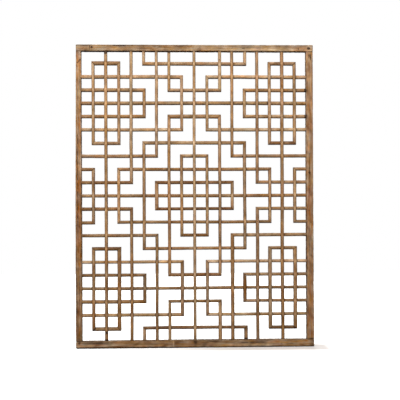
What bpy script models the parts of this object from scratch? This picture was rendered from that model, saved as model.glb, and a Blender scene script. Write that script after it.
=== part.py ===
"""Old wooden lattice wall panel: a mortised frame filled with half-lapped, round-fronted bars.

X runs to the right, Y into the wall and Z up, in metres. The origin is at the centre of the top
rail's back face, where the panel is held against the wall.
"""

from itertools import product

import bmesh
import bpy
from mathutils import Vector

# Panel and frame
PANEL_WIDTH = 1.001
PANEL_HEIGHT = 1.273
FRAME_DEPTH = 0.028
TOP_RAIL_HEIGHT = 0.028
BOTTOM_RAIL_HEIGHT = 0.032
LEFT_STILE_WIDTH = 0.025
RIGHT_STILE_WIDTH = 0.030
FRAME_CHAMFER = 0.0015  # worn front edges of all four members
STILE_TENON_LENGTH = 0.016
STILE_TENON_THICKNESS = 0.010
STILE_TENON_SHOULDER = 0.004  # left on each side of the tenon across the stile

# Lattice bars
BAR_WIDTH = 0.013
BAR_DEPTH = 0.016
BAR_ROUND_RISE = 0.0035  # of the rounded front above the square part, drawn as two slopes
BAR_SETBACK = 0.003  # from the frame's front to the bars' crown
BAR_TENON_LENGTH = 0.010

# Fits
JOINT_GAP = 0.0003  # between neighbouring pieces of wood
CUTTER_OVERRUN = 0.002  # how far a cutter runs past the wood that it cuts

# The pattern is drawn on the lines of this grid. Its outer lines are the frame's inner edges.
PATTERN_COLUMNS = 18
PATTERN_ROWS = 22
EDGE_CELL_TRIM = 0.004  # how much narrower the cells beside the frame are than the others

FRAME_COLOUR = (0.33, 0.205, 0.12)
BAR_COLOUR = (0.37, 0.235, 0.14)
WOOD_ROUGHNESS = 0.75

PANEL_TOP = TOP_RAIL_HEIGHT / 2
PANEL_BOTTOM = PANEL_TOP - PANEL_HEIGHT
OPENING_LEFT = -PANEL_WIDTH / 2 + LEFT_STILE_WIDTH
OPENING_RIGHT = PANEL_WIDTH / 2 - RIGHT_STILE_WIDTH
OPENING_TOP = PANEL_TOP - TOP_RAIL_HEIGHT
OPENING_BOTTOM = PANEL_BOTTOM + BOTTOM_RAIL_HEIGHT
COLUMN_PITCH = (OPENING_RIGHT - OPENING_LEFT + 2 * EDGE_CELL_TRIM) / PATTERN_COLUMNS
ROW_PITCH = (OPENING_TOP - OPENING_BOTTOM + 2 * EDGE_CELL_TRIM) / PATTERN_ROWS
CROWN_Y = -FRAME_DEPTH + BAR_SETBACK
SHOULDER_Y = CROWN_Y + BAR_ROUND_RISE
LAP_Y = CROWN_Y + BAR_DEPTH / 2  # crossing bars are halved over each other here
BAR_BACK_Y = CROWN_Y + BAR_DEPTH


def clear_scene():
    """Removes every object, so that only the panel is in the scene."""
    for item in list(bpy.data.objects):
        bpy.data.objects.remove(item, do_unlink=True)


def grid_point(column, row):
    """Turns a grid line crossing, counted from the opening's top left, into X and Z.

    The outer lines lie on the frame's inner edges, and the others keep one pitch between them.
    """
    x = OPENING_LEFT - EDGE_CELL_TRIM + column * COLUMN_PITCH
    z = OPENING_TOP + EDGE_CELL_TRIM - row * ROW_PITCH
    return Vector((min(max(x, OPENING_LEFT), OPENING_RIGHT), min(max(z, OPENING_BOTTOM), OPENING_TOP)))


def pattern():
    """Names every lattice figure, with its corners as (column, row) grid lines and whether it closes."""
    middle, centre = PATTERN_COLUMNS // 2, PATTERN_ROWS // 2

    def ring(left, top, right, bottom):
        return [(left, top), (right, top), (right, bottom), (left, bottom)], True

    def centred_ring(half_width, half_height):
        return ring(middle - half_width, centre - half_height, middle + half_width, centre + half_height)

    def stile_hook(top, reach, bottom):
        return [(0, top), (reach, top), (reach, bottom), (0, bottom)], False

    def rail_hook(half_width, drop):
        left, right = middle - half_width, middle + half_width
        return [(left, 0), (left, drop), (right, drop), (right, 0)], False

    def elbow(column, row):
        return [(column, 0), (column, row), (0, row)], False

    def mirrored(figure, across, down):
        points, closed = figure
        flipped = [
            (PATTERN_COLUMNS - column if across else column, PATTERN_ROWS - row if down else row)
            for column, row in points
        ]
        return flipped, closed

    quarter_figures = {
        "corner_ring": ring(1, 1, 3, 7),
        "long_hook": stile_hook(2, 8, 6),
        "short_hook": stile_hook(3, 5, 5),
        "inner_elbow": elbow(6, 8),
        "outer_elbow": elbow(4, 10),
    }
    figures = {}
    for name, figure in quarter_figures.items():
        for down, level in ((False, "top"), (True, "bottom")):
            for across, side in ((False, "left"), (True, "right")):
                figures[f"{name}_{level}_{side}"] = mirrored(figure, across, down)
    for down, level in ((False, "top"), (True, "bottom")):
        figures[f"wide_hook_{level}"] = mirrored(rail_hook(4, 1), False, down)
        figures[f"deep_hook_{level}"] = mirrored(rail_hook(2, 3), False, down)
    for across, side in ((False, "left"), (True, "right")):
        figures[f"narrow_hook_{side}"] = mirrored(stile_hook(centre - 2, 1, centre + 2), across, False)
    figures["tall_ring"] = centred_ring(2, 6)
    figures["square_ring"] = centred_ring(4, 4)
    figures["slim_ring"] = centred_ring(1, 3)
    figures["wide_ring"] = centred_ring(6, 2)
    figures["flat_ring"] = centred_ring(3, 1)
    for column, side in ((2, "left"), (middle, "middle"), (PATTERN_COLUMNS - 2, "right")):
        figures[f"upright_bar_{side}"] = [(column, 0), (column, PATTERN_ROWS)], False
    for row, level in ((4, "upper"), (centre, "middle"), (PATTERN_ROWS - 4, "lower")):
        figures[f"level_bar_{level}"] = [(0, row), (PATTERN_COLUMNS, row)], False
    return figures


def bars_of(figure):
    """Splits a figure into its straight bars, each a pair of grid points."""
    points, closed = figure
    ends = points[1:] + points[:1] if closed else points[1:]
    return list(zip(points, ends))


def is_upright(bar):
    """Tells whether both ends of a bar lie on one column line."""
    return bar[0][0] == bar[1][0]


def crossings_on(bar, figures):
    """Lists the grid points where bars of any figure cross this one."""
    crossings = []
    for figure in figures.values():
        for other in bars_of(figure):
            if is_upright(other) == is_upright(bar):
                continue
            upright, level = (bar, other) if is_upright(bar) else (other, bar)
            column, row = upright[0][0], level[0][1]
            top, bottom = sorted((upright[0][1], upright[1][1]))
            left, right = sorted((level[0][0], level[1][0]))
            if left < column < right and top < row < bottom:
                crossings.append((column, row))
    return crossings


def frame_ends(figure):
    """Lists the ends of an open figure that enter the frame, with the outward direction of each."""
    points, closed = figure
    if closed:
        return []
    ends = []
    for end, inner in ((points[0], points[1]), (points[-1], points[-2])):
        outward = (grid_point(*end) - grid_point(*inner)).normalized()
        ends.append((grid_point(*end), outward))
    return ends


def add_box(mesh, low, high):
    """Adds a closed box between two corners, on exactly those planes."""
    corners = [mesh.verts.new(corner) for corner in product(*zip(low, high))]
    for quad in ((0, 1, 3, 2), (4, 6, 7, 5), (0, 4, 5, 1), (2, 3, 7, 6), (0, 2, 6, 4), (1, 5, 7, 3)):
        mesh.faces.new([corners[index] for index in quad])


def add_box_along(mesh, start, end, half_width, low_y, high_y):
    """Adds a box from start to end in the X-Z plane, half_width to each side, between two depths."""
    along = (end - start).normalized()
    side = Vector((abs(along.y), abs(along.x))) * half_width
    low = Vector((min(start.x, end.x), min(start.y, end.y))) - side
    high = Vector((max(start.x, end.x), max(start.y, end.y))) + side
    add_box(mesh, (low.x, low_y, low.y), (high.x, high_y, high.y))


def sweep(mesh, path, closed, profile):
    """Carries a profile of (sideways, y) points along a path in the X-Z plane, mitred where it turns."""
    count = len(path)
    loops = []
    for index, point in enumerate(path):
        arriving = point - path[index - 1] if closed or index > 0 else path[1] - point
        leaving = path[(index + 1) % count] - point if closed or index < count - 1 else arriving
        side_in = arriving.normalized().orthogonal()
        side_out = leaving.normalized().orthogonal()
        mitre = (side_in + side_out) / (1 + side_in.dot(side_out))
        places = [(point + offset * mitre, y) for offset, y in profile]
        loops.append([mesh.verts.new((place.x, y, place.y)) for place, y in places])
    pairs = list(zip(loops, loops[1:] + loops[:1])) if closed else list(zip(loops, loops[1:]))
    for first, second in pairs:
        for index in range(len(profile)):
            after = (index + 1) % len(profile)
            mesh.faces.new((first[index], first[after], second[after], second[index]))
    if not closed:
        mesh.faces.new(loops[0])
        mesh.faces.new(loops[-1])


def bar_profile():
    """The bar's section: a square part with a rounded front, seen along the bar."""
    half = BAR_WIDTH / 2
    return [(-half, BAR_BACK_Y), (-half, SHOULDER_Y), (0, CROWN_Y), (half, SHOULDER_Y), (half, BAR_BACK_Y)]


def member_profile(width):
    """A frame member's section: a plain rectangle with its two front edges worn off."""
    half = width / 2
    return [
        (-half, 0),
        (-half, FRAME_CHAMFER - FRAME_DEPTH),
        (FRAME_CHAMFER - half, -FRAME_DEPTH),
        (half - FRAME_CHAMFER, -FRAME_DEPTH),
        (half, FRAME_CHAMFER - FRAME_DEPTH),
        (half, 0),
    ]


def finish_mesh(mesh, name):
    """Turns the faces outwards and puts the shape into a new object."""
    bmesh.ops.recalc_face_normals(mesh, faces=mesh.faces)
    data = bpy.data.meshes.new(name)
    mesh.to_mesh(data)
    mesh.free()
    shape = bpy.data.objects.new(name, data)
    bpy.context.scene.collection.objects.link(shape)
    return shape


def wood(name, colour):
    """A dry, unfinished wood of one colour."""
    material = bpy.data.materials.new(name)
    material.use_nodes = True
    shader = material.node_tree.nodes["Principled BSDF"]
    shader.inputs["Base Color"].default_value = (*colour, 1)
    shader.inputs["Roughness"].default_value = WOOD_ROUGHNESS
    shader.inputs["Metallic"].default_value = 0
    return material


def boolean(body, tool, operation):
    """Cuts or adds the tool, which itself is left out of the model."""
    tool.hide_render = True
    tool.display_type = "WIRE"
    tool.parent = body
    modifier = body.modifiers.new(tool.name, "BOOLEAN")
    modifier.solver = "EXACT"
    modifier.operation = operation
    modifier.object = tool


def make_figure(name, figure, figures):
    """Makes one lattice figure: its bars, their laps, and tenons where they enter the frame."""
    points, closed = figure
    centre = (grid_point(*map(min, zip(*points))) + grid_point(*map(max, zip(*points)))) / 2
    path = [grid_point(*point) - centre for point in points]
    ends = frame_ends(figure)
    if ends:
        path[0] += ends[0][1] * BAR_TENON_LENGTH
        path[-1] += ends[1][1] * BAR_TENON_LENGTH
    shape = bmesh.new()
    sweep(shape, path, closed, bar_profile())
    body = finish_mesh(shape, name)
    body.location = (centre.x, 0, centre.y)
    body.data.materials.append(wood(name, BAR_COLOUR))

    laps = bmesh.new()
    half_lap = BAR_WIDTH / 2 + JOINT_GAP
    half_cut = BAR_WIDTH / 2 + CUTTER_OVERRUN
    for bar in bars_of(figure):
        if is_upright(bar):
            along, low_y, high_y = Vector((0, half_lap)), LAP_Y, BAR_BACK_Y + CUTTER_OVERRUN
        else:
            along, low_y, high_y = Vector((half_lap, 0)), CROWN_Y - CUTTER_OVERRUN, LAP_Y + JOINT_GAP
        for crossing in crossings_on(bar, figures):
            point = grid_point(*crossing) - centre
            add_box_along(laps, point - along, point + along, half_cut, low_y, high_y)
    for point, outward in ends:
        start = point - centre - outward * JOINT_GAP
        end = start + outward * (JOINT_GAP + BAR_TENON_LENGTH + CUTTER_OVERRUN)
        add_box_along(laps, start, end, half_cut, CROWN_Y - CUTTER_OVERRUN, SHOULDER_Y)
    boolean(body, finish_mesh(laps, name + "_laps"), "DIFFERENCE")
    return body


def stile_tenon_section(left, right):
    """The left, right, front and back planes of the tenon at both ends of a stile."""
    middle_y = -FRAME_DEPTH / 2
    return (
        left + STILE_TENON_SHOULDER,
        right - STILE_TENON_SHOULDER,
        middle_y - STILE_TENON_THICKNESS / 2,
        middle_y + STILE_TENON_THICKNESS / 2,
    )


def add_bar_mortises(cutter, figures, centre, outward):
    """Cuts the mortises for every bar that enters the frame in the outward direction."""
    half_width = BAR_WIDTH / 2 + JOINT_GAP
    for figure in figures.values():
        for point, direction in frame_ends(figure):
            if round(direction.dot(outward)) != 1:
                continue
            start = point - centre - outward * CUTTER_OVERRUN
            end = point - centre + outward * (BAR_TENON_LENGTH + JOINT_GAP)
            add_box_along(cutter, start, end, half_width, SHOULDER_Y - JOINT_GAP, BAR_BACK_Y + JOINT_GAP)


def make_rail(name, edge_z, outward, height, figures):
    """Makes a rail of full width, with mortises in its inner edge for the stiles and the bars."""
    centre = Vector((0, edge_z + outward * height / 2))
    shape = bmesh.new()
    half_length = Vector((PANEL_WIDTH / 2, 0))
    sweep(shape, [-half_length, half_length], False, member_profile(height))
    body = finish_mesh(shape, name)
    body.location = (centre.x, 0, centre.y)
    body.data.materials.append(wood(name, FRAME_COLOUR))

    mortises = bmesh.new()
    add_bar_mortises(mortises, figures, centre, Vector((0, outward)))
    for stile_edges in ((-PANEL_WIDTH / 2, OPENING_LEFT), (OPENING_RIGHT, PANEL_WIDTH / 2)):
        left, right, front, back = stile_tenon_section(*stile_edges)
        start = edge_z - outward * CUTTER_OVERRUN - centre.y
        end = edge_z + outward * (STILE_TENON_LENGTH + JOINT_GAP) - centre.y
        add_box(
            mortises,
            (left - JOINT_GAP, front - JOINT_GAP, min(start, end)),
            (right + JOINT_GAP, back + JOINT_GAP, max(start, end)),
        )
    boolean(body, finish_mesh(mortises, name + "_mortises"), "DIFFERENCE")
    return body


def make_stile(name, left, right, outward, figures):
    """Makes a stile between the rails, tenoned into both, with mortises for the bars."""
    centre = Vector(((left + right) / 2, (OPENING_TOP + OPENING_BOTTOM) / 2))
    half_length = (OPENING_TOP - OPENING_BOTTOM) / 2
    shape = bmesh.new()
    shoulder = Vector((0, half_length - JOINT_GAP))
    sweep(shape, [-shoulder, shoulder], False, member_profile(right - left))
    body = finish_mesh(shape, name)
    body.location = (centre.x, 0, centre.y)
    body.data.materials.append(wood(name, FRAME_COLOUR))

    tenon_left, tenon_right, front, back = stile_tenon_section(left, right)
    tenons = bmesh.new()
    for direction in (-1, 1):
        root = direction * (half_length - STILE_TENON_SHOULDER)
        tip = direction * (half_length + STILE_TENON_LENGTH)
        add_box(
            tenons,
            (tenon_left - centre.x, front, min(root, tip)),
            (tenon_right - centre.x, back, max(root, tip)),
        )
    boolean(body, finish_mesh(tenons, name + "_tenons"), "UNION")

    mortises = bmesh.new()
    add_bar_mortises(mortises, figures, centre, Vector((outward, 0)))
    boolean(body, finish_mesh(mortises, name + "_mortises"), "DIFFERENCE")
    return body


def make_panel():
    """Makes the frame and fills it with the lattice, all hung from one guide at the origin."""
    panel = bpy.data.objects.new("panel", None)
    bpy.context.scene.collection.objects.link(panel)
    figures = pattern()
    members = [
        make_rail("top_rail", OPENING_TOP, 1, TOP_RAIL_HEIGHT, figures),
        make_rail("bottom_rail", OPENING_BOTTOM, -1, BOTTOM_RAIL_HEIGHT, figures),
        make_stile("left_stile", -PANEL_WIDTH / 2, OPENING_LEFT, -1, figures),
        make_stile("right_stile", OPENING_RIGHT, PANEL_WIDTH / 2, 1, figures),
    ]
    for name, figure in figures.items():
        members.append(make_figure(name, figure, figures))
    for member in members:
        member.parent = panel


clear_scene()
make_panel()
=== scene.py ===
"""Old wooden lattice panel in weathered, unpainted wood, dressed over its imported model.

X runs to the right, Y into the wall and Z up, in metres. The origin is at the back of the top rail.
"""

import math

import bpy
import numpy as np
from mathutils import Matrix, Vector


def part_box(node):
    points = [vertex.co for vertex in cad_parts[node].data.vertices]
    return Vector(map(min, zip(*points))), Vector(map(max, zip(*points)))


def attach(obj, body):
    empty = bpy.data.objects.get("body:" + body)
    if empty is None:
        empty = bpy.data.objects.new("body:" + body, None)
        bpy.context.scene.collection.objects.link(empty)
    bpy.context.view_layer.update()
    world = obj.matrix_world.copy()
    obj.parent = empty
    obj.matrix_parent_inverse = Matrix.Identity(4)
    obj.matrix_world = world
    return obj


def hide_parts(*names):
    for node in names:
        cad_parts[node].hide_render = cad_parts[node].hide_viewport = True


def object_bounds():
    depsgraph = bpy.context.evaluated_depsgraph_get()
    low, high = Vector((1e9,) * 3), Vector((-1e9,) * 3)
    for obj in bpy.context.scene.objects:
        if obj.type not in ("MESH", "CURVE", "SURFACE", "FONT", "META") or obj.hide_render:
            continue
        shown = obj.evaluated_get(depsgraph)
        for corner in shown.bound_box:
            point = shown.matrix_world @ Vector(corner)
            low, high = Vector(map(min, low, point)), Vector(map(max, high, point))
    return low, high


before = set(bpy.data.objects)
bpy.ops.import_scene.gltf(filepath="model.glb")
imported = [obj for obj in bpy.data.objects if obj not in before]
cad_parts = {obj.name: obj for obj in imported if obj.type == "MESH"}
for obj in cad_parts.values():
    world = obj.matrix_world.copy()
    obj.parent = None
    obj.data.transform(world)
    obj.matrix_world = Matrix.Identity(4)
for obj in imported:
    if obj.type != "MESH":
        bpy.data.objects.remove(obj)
cad_low, cad_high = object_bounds()

# Rails and stiles. Four straight members of old softwood, hand planed and never painted. The rails
# run the full width and the stiles stand between them on tenons. Long use has rounded their edges,
# and the wood has gone grey-brown, with knots, drying cracks and dirt in the joints.


def waves(rng, along, around, height, lengths=(0.015, 0.3), count=9):
    """Unevenness of a planed surface: a sum of sine waves that run along the piece, in metres, and a
    whole number of times around it, with random lengths, turns and phases. Its size is near height."""
    length = np.exp(rng.uniform(*np.log(lengths), count))
    turns = rng.integers(0, 4, count)
    phase = rng.uniform(0, 2 * np.pi, count)
    share = rng.uniform(0.4, 1.0, count)
    angle = 2 * np.pi * along[..., None] / length + turns * around[..., None] + phase
    return height * (share * np.sin(angle)).sum(-1) / np.sqrt((share**2).sum() / 2) / 2


def spot(along, across, centre, reach):
    """A soft spot: falls from 1 at its centre as the bell curve of the distance over the reach."""
    return np.exp(-(((along - centre[0]) / reach[0]) ** 2) - ((across - centre[1]) / reach[1]) ** 2)


SHARP_ANGLE = math.radians(38)


def wood_skin(name, points, grain, tone, marks, material):
    """One closed piece of wood from rings of points, given as stations x around x 3. Neighbouring rings are
    joined by four-sided faces, and one face closes each end. grain is a point's place in its log, tone is
    lightness, warmth and greyness, and marks are wear, dirt with painted shade, and knot."""
    stations, around, _ = points.shape
    here = np.arange(stations * around).reshape(stations, around)
    beside = np.roll(here, -1, axis=1)
    quads = np.stack([here[:-1], beside[:-1], beside[1:], here[1:]], -1).reshape(-1)
    corners = np.concatenate([quads, here[0][::-1], here[-1]])
    sizes = np.concatenate([np.full(len(quads) // 4, 4), [around, around]])
    mesh = bpy.data.meshes.new(name)
    mesh.vertices.add(stations * around)
    mesh.vertices.foreach_set("co", points.astype(np.float32).ravel())
    mesh.loops.add(len(corners))
    mesh.loops.foreach_set("vertex_index", corners.astype(np.int32))
    mesh.polygons.add(len(sizes))
    mesh.polygons.foreach_set("loop_start", (np.cumsum(sizes) - sizes).astype(np.int32))
    mesh.polygons.foreach_set("use_smooth", np.ones(len(sizes), bool))
    for label, values in (("grain", grain), ("tone", tone), ("marks", marks)):
        layer = mesh.attributes.new(label, "FLOAT_VECTOR", "POINT")
        layer.data.foreach_set("vector", np.broadcast_to(values, points.shape).astype(np.float32).ravel())
    mesh.update(calc_edges=True)
    mesh.validate()
    mesh.set_sharp_from_angle(angle=SHARP_ANGLE)
    mesh.materials.append(material)
    piece = bpy.data.objects.new(name, mesh)
    bpy.context.scene.collection.objects.link(piece)
    return piece


def feed(tree, node, inputs):
    """Links or sets a node's inputs, which are named or counted."""
    for place, value in inputs.items():
        if isinstance(value, bpy.types.NodeSocket):
            tree.links.new(value, node.inputs[place])
        else:
            node.inputs[place].default_value = value


def add_node(tree, kind, inputs=None, **settings):
    """Adds a node with its settings and its inputs."""
    node = tree.nodes.new(kind)
    for name, value in settings.items():
        setattr(node, name, value)
    feed(tree, node, inputs or {})
    return node


def maths(tree, operation, first, second=0.0, clamp=False):
    """One Math node's result."""
    inputs = {0: first, 1: second}
    return add_node(tree, "ShaderNodeMath", inputs, operation=operation, use_clamp=clamp).outputs[0]


def vector_maths(tree, operation, first, second):
    """One Vector Math node's result."""
    return add_node(tree, "ShaderNodeVectorMath", {0: first, 1: second}, operation=operation).outputs[0]


def add_group(tree, group, inputs):
    """Places a node group with its inputs linked or set, and gives its outputs by name."""
    node = tree.nodes.new("ShaderNodeGroup")
    node.node_tree = group
    feed(tree, node, inputs)
    return {label: node.outputs[label] for label in node.outputs.keys()}


def stretched_noise(tree, place, scale, detail, roughness=0.55):
    """Noise drawn out along the grain: the place is scaled by three numbers before it is looked up."""
    drawn = vector_maths(tree, "MULTIPLY", place, scale)
    settings = {"Vector": drawn, "Scale": 1.0, "Detail": detail, "Roughness": roughness}
    return add_node(tree, "ShaderNodeTexNoise", settings).outputs[0]


def centred(tree, noise):
    """A noise node's three colour channels, moved to run from -0.5 to 0.5."""
    return vector_maths(tree, "SUBTRACT", noise.outputs["Color"], (0.5, 0.5, 0.5))


def between(tree, value, low, high):
    """Turns a value's stretch from low to high into 0 to 1, clamped and smooth at both ends."""
    inputs = {"Value": value, "From Min": low, "From Max": high}
    return add_node(tree, "ShaderNodeMapRange", inputs, interpolation_type="SMOOTHSTEP").outputs[0]


def mix_colour(tree, share, under, over):
    """One colour laid over another by a share from 0 to 1."""
    return add_node(tree, "ShaderNodeMix", {0: share, 6: under, 7: over}, data_type="RGBA").outputs[2]


def lay_over(tree, under, over, share, strength):
    """Lays a plain colour over another by a share times a strength."""
    return mix_colour(tree, maths(tree, "MULTIPLY", share, strength), under, (*over, 1))


def make_group(name, inputs, outputs):
    """An empty node group with named sockets. Gives the group, its input node and its output node."""
    group = bpy.data.node_groups.new(name, "ShaderNodeTree")
    for label, kind in inputs.items():
        group.interface.new_socket(name=label, in_out="INPUT", socket_type=kind)
    for label, kind in outputs.items():
        group.interface.new_socket(name=label, in_out="OUTPUT", socket_type=kind)
    return group, group.nodes.new("NodeGroupInput"), group.nodes.new("NodeGroupOutput")


def make_grain_group():
    """Grain of a sawn log. Growth rings are bands of the distance from the log's heart, bent by slow
    noise. Streaks, fibres and pores are noise drawn out along the log, each finer than the last, and
    Figure is three such noises, from -0.5 to 0.5, for the tone."""
    number, vector = "NodeSocketFloat", "NodeSocketVector"
    labels = ("Rings", "Streaks", "Fibres", "Pores", "Relief", "Figure")
    kinds = {label: vector if label == "Figure" else number for label in labels}
    tree, given, made = make_group("wood_grain", {"Place": vector, "Ring Spacing": number}, kinds)
    place = given.outputs["Place"]
    slowed = vector_maths(tree, "MULTIPLY", place, (3.0, 26.0, 26.0))
    drift = add_node(tree, "ShaderNodeTexNoise", {"Vector": slowed, "Scale": 1.0, "Detail": 2.0})
    bend = vector_maths(tree, "MULTIPLY", centred(tree, drift), (0.0, 0.016, 0.016))
    bent = vector_maths(tree, "ADD", place, bend)
    flat = vector_maths(tree, "MULTIPLY", bent, (0.0, 1.0, 1.0))
    distance = add_node(tree, "ShaderNodeVectorMath", {0: flat}, operation="LENGTH").outputs["Value"]
    turns = maths(tree, "DIVIDE", distance, given.outputs["Ring Spacing"])
    rings = between(tree, maths(tree, "SINE", maths(tree, "MULTIPLY", turns, 2 * math.pi)), -1.0, 1.0)
    streaks = stretched_noise(tree, place, (4.5, 170.0, 170.0), 4.0, 0.6)
    fibres = stretched_noise(tree, place, (26.0, 1300.0, 1300.0), 3.0, 0.6)
    pores = between(tree, stretched_noise(tree, place, (70.0, 1500.0, 1500.0), 2.0), 0.6, 0.72)
    relief = maths(tree, "ADD", maths(tree, "MULTIPLY", rings, 0.35), maths(tree, "MULTIPLY", streaks, 0.8))
    relief = maths(tree, "ADD", relief, maths(tree, "MULTIPLY", fibres, 0.5))
    relief = maths(tree, "SUBTRACT", relief, maths(tree, "MULTIPLY", pores, 0.4))
    drawn = vector_maths(tree, "MULTIPLY", place, (22.0, 170.0, 170.0))
    figure = add_node(tree, "ShaderNodeTexNoise", {"Vector": drawn, "Scale": 1.0, "Detail": 3.0})
    feed(tree, made, dict(zip(labels, (rings, streaks, fibres, pores, relief, centred(tree, figure)))))
    return tree


def make_ageing_group():
    """What age does to bare wood, with painted shade in it. Wear, dirt and knots come from the piece's own
    marks and are broken up by noise; the dirt marks also carry painted shade. Stain is slow noise over the
    whole panel, and Blotch is three more, from -0.5 to 0.5, for the tone. The foot output is painted shade:
    it grows from the top of the panel to its foot and adds to the dirt and shade, and Dust lies on faces
    that look up."""
    number, vector = "NodeSocketFloat", "NodeSocketVector"
    labels = ("Wear", "Dirt And Shade", "Knot", "Stain", "Blotch", "Dust", "Foot Shade")
    kinds = {label: vector if label == "Blotch" else number for label in labels}
    tree, given, made = make_group("wood_ageing", {"Place": vector, "Marks": vector}, kinds)
    place = given.outputs["Place"]
    marks = add_node(tree, "ShaderNodeSeparateXYZ", {0: given.outputs["Marks"]}).outputs
    speckle = stretched_noise(tree, place, (260.0, 260.0, 260.0), 3.0)
    patches = stretched_noise(tree, place, (34.0, 34.0, 34.0), 4.0, 0.6)
    cloud = {"Vector": place, "Scale": 21.0, "Detail": 5.0, "Roughness": 0.62}
    blotch = centred(tree, add_node(tree, "ShaderNodeTexNoise", cloud))
    height = add_node(tree, "ShaderNodeSeparateXYZ", {0: place}).outputs[2]
    uneven = maths(tree, "ADD", height, maths(tree, "MULTIPLY", patches, 0.25))
    # The foot value is painted shade: it grows from near the top of the panel to its foot, where less light
    # falls, and adds to the dirt mask there.
    foot = maths(tree, "MULTIPLY", maths(tree, "SUBTRACT", 0.12, uneven), 0.8, clamp=True)
    wear = maths(tree, "MULTIPLY", marks[0], between(tree, patches, 0.3, 0.62), clamp=True)
    grime_and_foot_shade = maths(tree, "ADD", maths(tree, "MULTIPLY", speckle, 1.1), 0.3)
    grime_and_foot_shade = maths(tree, "ADD", grime_and_foot_shade, maths(tree, "MULTIPLY", foot, 0.45))
    dirt_and_shade = maths(tree, "MULTIPLY", marks[1], grime_and_foot_shade, clamp=True)
    ragged = maths(tree, "MULTIPLY", maths(tree, "SUBTRACT", speckle, 0.5), 0.5)
    knot = between(tree, maths(tree, "ADD", marks[2], ragged), 0.25, 0.75)
    stain = between(tree, stretched_noise(tree, place, (7.0, 7.0, 7.0), 4.0, 0.65), 0.36, 0.66)
    normal = add_node(tree, "ShaderNodeNewGeometry").outputs["Normal"]
    upward = between(tree, add_node(tree, "ShaderNodeSeparateXYZ", {0: normal}).outputs[2], 0.2, 0.95)
    dust = maths(tree, "MULTIPLY", upward, between(tree, patches, 0.25, 0.7))
    feed(tree, made, dict(zip(labels, (wear, dirt_and_shade, knot, stain, blotch, dust, foot))))
    return tree


def make_tone_group():
    """A piece's own shade. Each unit of lightness makes the wood a third brighter, and a little
    yellower and less saturated. Warmth turns it redder and deeper, and greyness takes colour away."""
    number, colour = "NodeSocketFloat", "NodeSocketColor"
    tree, given, made = make_group(
        "wood_tone",
        {"Color": colour, "Lightness": number, "Warmth": number, "Greyness": number},
        {"Color": colour},
    )
    lightness, warmth = given.outputs["Lightness"], given.outputs["Warmth"]
    greyness = given.outputs["Greyness"]
    fade = maths(tree, "MULTIPLY", lightness, 0.07)
    fade = maths(tree, "ADD", fade, maths(tree, "MULTIPLY", greyness, 0.3))
    fade = maths(tree, "SUBTRACT", fade, maths(tree, "MULTIPLY", warmth, 0.09))
    yellower = maths(tree, "ADD", maths(tree, "MULTIPLY", lightness, 0.004), 0.5)
    settings = {
        "Hue": maths(tree, "SUBTRACT", yellower, maths(tree, "MULTIPLY", warmth, 0.010)),
        "Saturation": maths(tree, "SUBTRACT", 1.0, fade),
        "Value": maths(tree, "POWER", 1.35, lightness),
        "Color": given.outputs["Color"],
    }
    toned = add_node(tree, "ShaderNodeHueSaturation", settings)
    tree.links.new(toned.outputs[0], made.inputs["Color"])
    return tree


grain_group = make_grain_group()
ageing_group = make_ageing_group()
tone_group = make_tone_group()

# How far blotches move lightness, warmth and greyness, and what is the same in all the wood.
BLOTCH = (3.2, 3.4, 1.3)
DUST_COLOUR = (0.50, 0.39, 0.27)
KNOT_COLOUR = (0.035, 0.018, 0.010)
WOOD_SPECULAR = 0.14
RELIEF_HEIGHT = 0.0006


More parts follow.
